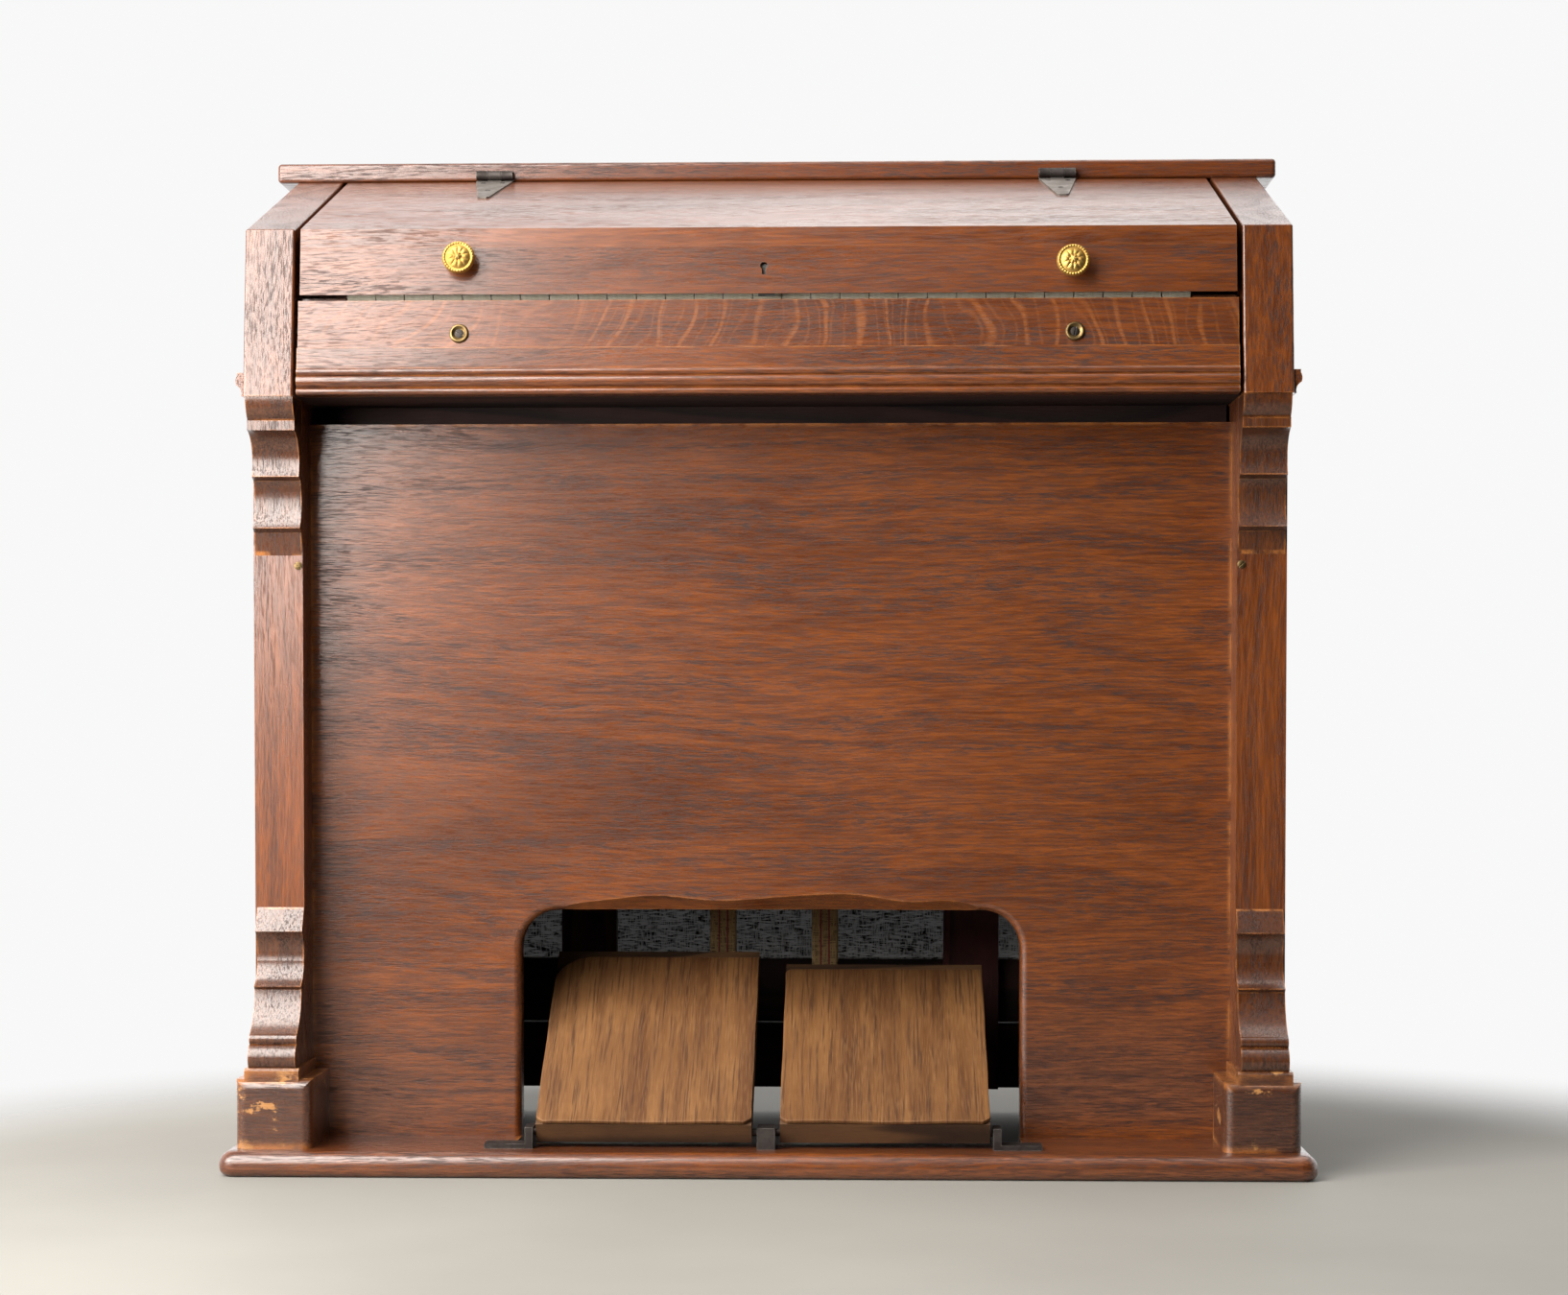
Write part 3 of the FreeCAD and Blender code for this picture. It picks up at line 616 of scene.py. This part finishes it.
def finishNodes():
    for name, node in nodes.items():
        matches = [key for key in nodeFinish if name == key or name.startswith(key + "_")]
        chosen = finishes[nodeFinish[max(matches, key=len)]]
        for slot in node.material_slots:
            slot.material = chosen


finishNodes()
print("finishes on", len(nodes), "pieces")


def addMesh(name, points, faces, finish):
    mesh = bpy.data.meshes.new(name)
    mesh.from_pydata([tuple(p) for p in points], [], faces)
    mesh.materials.append(finishes[finish])
    mesh.shade_smooth()
    piece = bpy.data.objects.new(name, mesh)
    bpy.context.scene.collection.objects.link(piece)
    return piece


def gridFaces(rows, columns, closed=False):
    faces = []
    span = columns if closed else columns - 1
    for r in range(rows - 1):
        low, high = r * columns, (r + 1) * columns
        for c in range(span):
            d = (c + 1) % columns
            faces.append((low + c, low + d, high + d, high + c))
    return faces


def gridPiece(name, rows, columns, pointAt, finish):
    points = []
    for r in range(rows):
        points += [pointAt(r / (rows - 1), c / (columns - 1)) for c in range(columns)]
    return addMesh(name, points, gridFaces(rows, columns), finish)


def turnedPiece(name, profile, centre, facing, finish, segments, relief=None):
    # profile runs from the rim to the middle as (radius, height), round an axis along facing
    turn = Vector(facing).to_track_quat("Z", "Y").to_matrix()
    points = []
    for radius, height in profile:
        for step in range(segments):
            angle = 2 * math.pi * step / segments
            lift = relief(radius, angle) if relief else 0.0
            flat = Vector((radius * math.cos(angle), radius * math.sin(angle), height + lift))
            points.append(Vector(centre) + turn @ flat)
    faces = gridFaces(len(profile), segments, closed=True)
    faces.append(tuple(reversed(range(segments))))
    last = (len(profile) - 1) * segments
    faces.append(tuple(range(last, last + segments)))
    return addMesh(name, points, faces, finish)


cameraLook = {
    "place": (0.0836, -2.4967, 0.3686),
    "pitch": 0.0300,
    "turn": 0.0298,
    "lens": 66.13,
    "sensor": 36.0,
    "rise": 0.101,
}


def makeCamera():
    data = bpy.data.cameras.new("studioCamera")
    data.lens = cameraLook["lens"]
    data.sensor_width = cameraLook["sensor"]
    data.shift_y = cameraLook["rise"]
    camera = bpy.data.objects.new("studioCamera", data)
    camera.location = cameraLook["place"]
    camera.rotation_euler = (math.pi / 2 - cameraLook["pitch"], 0.0, cameraLook["turn"])
    bpy.context.scene.collection.objects.link(camera)
    bpy.context.scene.camera = camera


lightTint = (1.0, 0.972, 0.93)
lightLook = {
    "window": {"place": (-0.91, -1.1, 1.30), "aim": (0.0, 0.0, 0.45), "size": (1.25, 2.0),
               "power": 80.0},
    "side": {"place": (-1.35, -0.8, 0.64), "aim": (0.0, -0.1, 0.42), "size": (0.8, 0.8),
             "power": 19.0},
    "ceiling": {"place": (0.5, 0.5, 2.6), "aim": (0.3, 0.1, 0.0), "size": (2.4, 2.4),
                "power": 30.0},
}


def makeLights():
    for name, look in lightLook.items():
        data = bpy.data.lights.new(name, "AREA")
        data.shape = "RECTANGLE"
        data.size, data.size_y = look["size"]
        data.energy = look["power"]
        data.color = lightTint
        light = bpy.data.objects.new(name, data)
        light.location = look["place"]
        light.visible_camera = False
        aim = Vector(look["aim"]) - light.location
        light.rotation_euler = aim.to_track_quat("-Z", "Y").to_euler()
        bpy.context.scene.collection.objects.link(light)


# strength of the plain surround by direction, and as the camera sees it
worldLook = {"seen": 0.94, "back": 1.3, "left": 0.15, "right": 0.01, "top": 0.35}


def makeWorld():
    world = bpy.data.worlds.new("studio")
    world.use_nodes = True
    bpy.context.scene.world = world
    tree = world.node_tree
    background = tree.nodes["Background"]
    direction = putNode(tree, "TexCoord").outputs["Generated"]
    parts = putNode(tree, "SeparateXYZ", {0: direction}).outputs
    sides = band(tree, parts[0], -0.5, 0.1, worldLook["left"], worldLook["right"])
    depth = band(tree, parts[1], -0.25, 0.35)
    level = putNode(tree, "Mix", {0: depth, 2: sides, 3: worldLook["back"]}).outputs[0]
    upward = band(tree, parts[2], 0.45, 0.95)
    level = putNode(tree, "Mix", {0: upward, 2: level, 3: worldLook["top"]}).outputs[0]
    eye = putNode(tree, "LightPath").outputs["Is Camera Ray"]
    level = putNode(tree, "Mix", {0: eye, 2: level, 3: worldLook["seen"]}).outputs[0]
    background.inputs["Color"].default_value = (1.0, 1.0, 1.0, 1.0)
    tree.links.new(level, background.inputs["Strength"])


floorLook = {
    "dark": (0.215, 0.206, 0.187, 1),
    "light": (0.258, 0.249, 0.226, 1),
    "roughness": 0.75,
    "reach": 2.6,
    "centre": (0.05, -0.35, 0.0),
    "solid": 0.72,  # the floor starts to fade into the surround at this distance
    "gone": 1.12,
}


def makeFloor():
    reach = floorLook["reach"]
    mesh = bpy.data.meshes.new("studioFloor")
    corners = [(-reach, -reach, 0), (reach, -reach, 0), (reach, reach, 0), (-reach, reach, 0)]
    mesh.from_pydata(corners, [], [(0, 1, 2, 3)])
    floor = bpy.data.objects.new("studioFloor", mesh)
    bpy.context.scene.collection.objects.link(floor)
    material, tree, shader = startFinish("paleFloor", {"Roughness": floorLook["roughness"]})
    place = putNode(tree, "TexCoord").outputs["Object"]
    cloud = noiseOf(tree, place, (1.6, 1.6, 1.6), 5.0)
    speck = noiseOf(tree, place, (60.0, 60.0, 60.0), 3.0, 0.0, 0.7)
    cloud = band(tree, cloud, 0.3, 0.7)
    colour = blendColour(tree, cloud, floorLook["dark"], floorLook["light"])
    speck = band(tree, speck, 0.6, 0.8, 0.0, 0.15)
    colour = blendColour(tree, speck, colour, floorLook["dark"])
    tree.links.new(colour, shader.inputs["Base Color"])
    ends = {0: place, 1: floorLook["centre"]}
    outward = putNode(tree, "VectorMath", ends, operation="SUBTRACT").outputs[0]
    away = putNode(tree, "VectorMath", {0: outward}, operation="LENGTH").outputs["Value"]
    fade = band(tree, away, floorLook["solid"], floorLook["gone"], 1.0, 0.0)
    tree.links.new(fade, shader.inputs["Alpha"])
    mesh.materials.append(material)


makeCamera()
makeLights()
makeWorld()
makeFloor()
bpy.context.scene.view_settings.view_transform = "Standard"
print("camera, light and floor ready")


knobLook = {
    "radius": 0.01325,
    "stand": 0.0088,  # from the middle of the knob back to the lid's face
    "stem": ((0.009, 0.0), (0.009, 0.0013), (0.0052, 0.0028), (0.0047, 0.0055), (0.0056, 0.0085)),
    "rim": ((0.0012, 0.0102), (0.0, 0.0112), (0.0002, 0.0122), (0.0008, 0.0128)),
    "face": 0.0130,
    "dome": 0.0032,
    "eye": 0.0028,
    "eyeFoot": 0.0168,
    "eyeDome": 0.0014,
    "beads": 32,
    "beadHeight": 0.0011,
    "petals": 10,
    "petalHeight": 0.0008,
    "hollow": 0.0006,
    "segments": 156,
}


def knobRelief(radius, angle):
    r = radius / knobLook["radius"]
    lift = 0.0
    if 0.80 < r < 0.985:  # beaded rim
        across = 1 - ((r - 0.89) / 0.095) ** 2
        bead = abs(math.cos(angle * knobLook["beads"] / 2)) ** 0.7
        lift += knobLook["beadHeight"] * max(0, across) * bead
    if 0.68 < r < 0.80:  # plain hollow inside the beads
        lift -= knobLook["hollow"] * math.sin(math.pi * (r - 0.68) / 0.12)
    if 0.26 < r < 0.68:  # ring of petals
        across = math.sin(math.pi * (r - 0.26) / 0.42)
        petal = abs(math.cos(angle * knobLook["petals"] / 2)) ** 0.6
        lift += knobLook["petalHeight"] * across * petal
    if r < 0.24:  # small turned eye
        lift += 0.0005 * math.cos(6 * angle) * r / 0.24
    return lift


def knobProfile():
    rim, eye = knobLook["radius"], knobLook["eye"]
    profile = list(knobLook["stem"])
    profile += [(rim - inset, height) for inset, height in knobLook["rim"]]
    steps = 26
    for step in range(steps):
        r = (rim - 0.001) * (1 - step / steps)
        profile.append((r, knobLook["face"] + knobLook["dome"] * (1 - (r / rim) ** 2)))
    steps = 6
    for step in range(steps):
        r = eye * (1 - step / steps)
        dome = knobLook["eyeDome"] * math.cos(r / eye * math.pi / 2)
        profile.append((max(r, 0.0002), knobLook["eyeFoot"] + dome))
    return profile


def makeKnobs():
    tilt = math.atan2(caseShape["leanBack"], caseShape["lidRise"])
    outward = Vector((0.0, -math.cos(tilt), math.sin(tilt)))
    for side in ("left", "right"):
        low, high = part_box("knob_" + side)
        foot = (low + high) / 2 - outward * knobLook["stand"]
        knob = turnedPiece("floralKnob_" + side, knobProfile(), foot, outward, "brass",
                           knobLook["segments"], knobRelief)
        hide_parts("knob_" + side)
        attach(knob, "lid")


makeKnobs()
print("knobs ready")


screwLook = {"slotWidth": 0.0009, "slotDepth": 0.0007, "dome": 0.18, "sunk": 0.0004,
             "segments": 120}


def makeScrew(name, centre, facing, radius, finish, body, slotTurn, rise):
    def cut(r, angle):
        offset = abs(r * math.sin(angle - slotTurn))
        inSlot = offset < screwLook["slotWidth"] / 2 and r < radius * 0.97
        return -screwLook["slotDepth"] if inSlot else 0.0

    profile = [(radius, -screwLook["sunk"]), (radius, rise)]
    steps = 16
    for step in range(1, steps + 1):
        r = max(radius * (1 - step / steps), 0.00005)
        profile.append((r, rise + radius * screwLook["dome"] * (1 - (r / radius) ** 2)))
    screw = turnedPiece(name, profile, centre, facing, finish, screwLook["segments"], cut)
    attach(screw, body)


slipScrew = {
    "x": 0.2476,
    "z": 0.6795,
    "behind": 0.002,  # the key slip's face, behind the cheeks' front
    "cup": 0.0078,
    "cupProfile": ((0.0, -0.0003), (0.0, 0.0006), (0.0006, 0.0016), (0.0015, 0.0021),
                   (0.0024, 0.0017), (0.0034, 0.0004), (0.0044, 0.0002)),
    "segments": 96,
    "radius": 0.0036,
    "rise": 0.0003,
}


def makeSlipScrews():
    back, rise = caseShape["leanBack"], caseShape["leanRise"]
    outward = Vector((0.0, -rise, back)).normalized()
    face = cheekFrontY + (slipScrew["z"] - caseShape["leanFrom"]) * back / rise
    for side, sign in (("left", -1), ("right", 1)):
        foot = Vector((sign * slipScrew["x"], face + slipScrew["behind"], slipScrew["z"]))
        profile = [(slipScrew["cup"] - inset, up) for inset, up in slipScrew["cupProfile"]]
        washer = turnedPiece("cupWasher_" + side, profile, foot, outward, "darkBrass",
                             slipScrew["segments"])
        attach(washer, "case")
        makeScrew("slipScrew_" + side, foot + outward * 0.0004, outward, slipScrew["radius"],
                  "iron", "case", 0.5 + sign * 0.9, slipScrew["rise"])


stileScrew = {"x": 0.3852, "z": 0.4946, "radius": 0.0033, "rise": 0.0005}
bracketScrew = {"fromEnd": (0.009, 0.027), "y": 0.0095, "z": 0.022, "radius": 0.003,
                "rise": 0.0004}


def makeCaseScrews():
    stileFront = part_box("stile_left")[0].y
    for side, sign in (("left", -1), ("right", 1)):
        spot = (sign * stileScrew["x"], stileFront, stileScrew["z"])
        makeScrew("stileScrew_" + side, spot, (0, -1, 0), stileScrew["radius"], "darkBrass",
                  "case", 0.7 * sign, stileScrew["rise"])
        low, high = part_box("pedal_bracket_" + side)
        for step, away in enumerate(bracketScrew["fromEnd"]):
            x = (low.x + away) if sign < 0 else (high.x - away)
            spot = (x, low.y + bracketScrew["y"], bracketScrew["z"])
            makeScrew("bracketScrew_" + side + str(step), spot, (0, 0, 1),
                      bracketScrew["radius"], "iron", "case", 0.4 + step,
                      bracketScrew["rise"])


# places are (across, down the leaf from the pin)
hingeScrew = {"x": 0.247, "places": ((-0.0085, 0.013), (0.0085, 0.013), (0.0, 0.050)),
              "leaf": 0.0015, "radius": 0.0024, "rise": 0.0003}


def makeHingeScrews():
    angle = math.atan2(caseShape["slopeRise"], caseShape["slopeRun"])
    outward = Vector((0, -math.sin(angle), math.cos(angle)))
    down = Vector((0, -math.cos(angle), -math.sin(angle)))
    start = Vector((0, cheekFrontY + caseShape["slopeStart"], caseShape["slopeFoot"]))
    length = (caseShape["hingePin"] - caseShape["slopeStart"]) / math.cos(angle)
    for side, sign in (("left", -1), ("right", 1)):
        for step, (across, run) in enumerate(hingeScrew["places"]):
            spot = start - down * length + down * run + outward * hingeScrew["leaf"]
            spot.x = sign * (hingeScrew["x"] + across)
            makeScrew("hingeScrew_" + side + str(step), spot, outward, hingeScrew["radius"],
                      "iron", "lid", 0.3 + step * 0.8, hingeScrew["rise"])


makeSlipScrews()
makeCaseScrews()
makeHingeScrews()
print("screws ready")


grilleShape = {"rows": 40, "columns": 70, "slack": 0.0012, "ripple": 0.0004, "waves": 31}


def makeGrilleCloth():
    low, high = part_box("grille_cloth")
    middle = (low.y + high.y) / 2

    def pointAt(r, c):
        x = low.x + (high.x - low.x) * c
        z = low.z + (high.z - low.z) * r
        belly = math.sin(math.pi * r) * math.sin(math.pi * c) * grilleShape["slack"]
        wander = 2 * math.sin(r * 5)
        wave = math.sin(c * grilleShape["waves"] + wander) * math.sin(math.pi * r)
        return Vector((x, middle - belly * 0.4 + grilleShape["ripple"] * wave, z))

    cloth = gridPiece("grilleCloth", grilleShape["rows"], grilleShape["columns"], pointAt,
                      "grille")
    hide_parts("grille_cloth")
    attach(cloth, "case")


makeGrilleCloth()
print("grille cloth ready")


treadCut = {
    "tilt": {"left": 34.5, "right": 30.7},
    "above": 0.0134,
    "below": 0.0056,
    "board": 0.2157,
    "ahead": 0.0063,
    "length": 0.211,
    "round": {"left": 0.034, "right": 0.006},
    "thick": 0.003,
    "gap": 0.0001,
    "corner": 0.006,
    "curl": 0.0012,
    "curlLength": 0.012,
    "wander": 0.0002,
    "soft": 0.0005,
    "rows": 90,
    "columns": 60,
}


def jointPlace(name):
    joint = next(j for j in record["behaviour"]["joints"] if j["name"] == name)
    return Vector(joint["pos_m"])


def pedalAxes(side):
    # the pedal's pivot, the way along its board and the way up from it
    tilt = math.radians(treadCut["tilt"][side])
    pivot = jointPlace("pedal_" + side + "_hinge")
    pivot.x = 0.0
    along = Vector((0, math.cos(tilt), math.sin(tilt)))
    return pivot, along, Vector((0, -math.sin(tilt), math.cos(tilt)))


def makeTreads():
    for side in ("left", "right"):
        low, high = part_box("pedal_" + side)
        pivot, along, up = pedalAxes(side)
        corner = pivot - along * treadCut["ahead"] + up * treadCut["above"]

        def pointAt(r, c):
            run = r * treadCut["length"]
            inset = max(0.0, treadCut["corner"] - run * 1.2)
            bend = treadCut["round"][side]
            past = max(0.0, run - treadCut["length"] + bend)
            rounded = bend - math.sqrt(max(0.0, bend * bend - past * past * 0.97))
            left = low.x + inset + rounded
            right = high.x - inset
            x = left + (right - left) * c
            if c < 0.02 or c > 0.98:  # the sawn long edges wander a little
                edge = treadCut["wander"] * math.sin(r * 17 + c * 5)
                x += edge if c < 0.02 else -edge
            ripple = 0.5 + 0.5 * math.sin(c * 9)
            lift = treadCut["curl"] * math.exp(-run / treadCut["curlLength"]) * ripple
            return Vector((x, 0, 0)) + corner + along * run + up * (lift + treadCut["gap"])

        tread = gridPiece("tread_" + side, treadCut["rows"], treadCut["columns"], pointAt,
                          "tread")
        thick = tread.modifiers.new("thick", "SOLIDIFY")
        thick.thickness = treadCut["thick"]
        thick.offset = 1.0
        soft = tread.modifiers.new("soft", "BEVEL")
        soft.width = treadCut["soft"]
        soft.segments = 2
        soft.limit_method = "ANGLE"
        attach(tread, "pedal_" + side + "_body")


makeTreads()
print("treads ready")


strapLook = {
    "tuck": 0.026,  # length held under the pedal's end
    "lift": 0.0009,
    "wrap": 150,  # degrees round the roller
    "thick": 0.0012,
    "tuckSteps": 8,
    "freeSteps": 30,
    "wrapSteps": 14,
    "columns": 9,
}


def strapRoute(corner, along, front, axle, reach):
    # from under the pedal's end up to the roller's front, then over the roller
    route = []
    steps = strapLook["tuckSteps"]
    for step in range(steps + 1):
        route.append(corner - along * strapLook["tuck"] * (1 - step / steps))
    steps = strapLook["freeSteps"]
    for step in range(1, steps + 1):
        route.append(corner + (front - corner) * (step / steps))
    steps = strapLook["wrapSteps"]
    for step in range(1, steps + 1):
        turn = math.radians(strapLook["wrap"]) * step / steps
        y = axle.y - reach * math.cos(turn)
        route.append(Vector((0, y, axle.z + reach * math.sin(turn))))
    return route


def makeStraps():
    rollerLow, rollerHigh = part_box("strap_roller")
    axle = (rollerLow + rollerHigh) / 2
    reach = (rollerHigh.z - rollerLow.z) / 2 + strapLook["lift"]
    front = Vector((0, axle.y - reach, axle.z))
    for side in ("left", "right"):
        low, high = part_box("strap_" + side)
        pivot, along, up = pedalAxes(side)
        end = treadCut["board"] + strapLook["lift"]
        under = up * (-treadCut["below"] - strapLook["lift"])
        corner = pivot + along * end + under
        route = strapRoute(corner, along, front, axle, reach)

        def pointAt(r, c):
            spot = route[round(r * (len(route) - 1))].copy()
            spot.x = low.x + (high.x - low.x) * c
            return spot

        strap = gridPiece("webbingStrap_" + side, len(route), strapLook["columns"], pointAt,
                          "webbing")
        thick = strap.modifiers.new("thick", "SOLIDIFY")
        thick.thickness = strapLook["thick"]
        thick.offset = 0.0
        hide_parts("strap_" + side)
        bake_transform(strap)


makeStraps()
print("straps ready")
